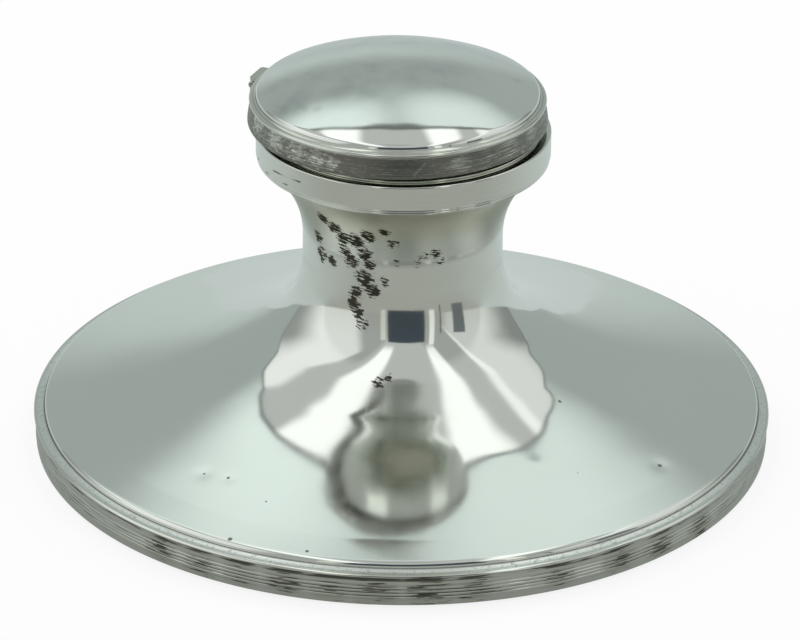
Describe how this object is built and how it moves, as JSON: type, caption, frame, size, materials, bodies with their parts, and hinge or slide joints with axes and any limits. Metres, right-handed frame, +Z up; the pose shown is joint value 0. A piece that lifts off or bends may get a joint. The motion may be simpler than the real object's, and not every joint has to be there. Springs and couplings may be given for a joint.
{
  "type": "capstan inkwell",
  "caption": "Capstan inkwell: a wide swept round foot with a reeded rim, a waisted neck, a lift-out glass ink pot and a domed lid on a barrel hinge.",
  "frame": {"origin": "on the surface that the foot stands on, under the middle of the foot", "axes": "+Z up along the foot and neck; +Y to the back, where the hinge is; +X to the right seen from the front"},
  "size_m": [0.13, 0.13, 0.071],
  "materials": {
    "body_silver": "polished, softly worn",
    "rim_silver": "polished, tarnished in the reeds",
    "lid_silver": "polished, hazed and scratched",
    "lining_silver": "satin, faintly gilt",
    "hinge_silver": "polished, dark in the joints",
    "pin_steel": "drawn wire",
    "well_tin": "dull tinned sheet",
    "loading": "cast, matt",
    "pot_glass": "clear, moulded",
    "base_wood": "stained, close grain",
    "felt": "baize, napped"
  },
  "bodies": {
    "base": {"base_felt": "felt", "base_board": "base_wood", "base_rim": "rim_silver", "body_shell": "body_silver", "loading": "loading", "well_sleeve": "well_tin", "collar": "body_silver", "mouth_ring": "body_silver", "hinge_bracket": "hinge_silver", "hinge_knuckle_left": "hinge_silver", "hinge_knuckle_right": "hinge_silver", "hinge_pin": "pin_steel"},
    "lid": {"lid_rim": "lid_silver", "lid_dome": "lid_silver", "lid_lining": "lining_silver", "hinge_strap": "hinge_silver", "hinge_knuckle_lid": "hinge_silver"},
    "ink_pot": {"glass_liner": "pot_glass"}
  },
  "joints": [
    {"name": "lid_hinge", "type": "hinge", "parent": "base", "child": "lid", "pos_m": [0, 0.02755, 0.06275], "axis": [-1, 0, 0], "range_deg": [0, 115]},
    {"name": "ink_pot_lift", "type": "slide", "parent": "base", "child": "ink_pot", "axis": [0, 0, 1], "range_m": [0, 0.0025]}
  ]
}
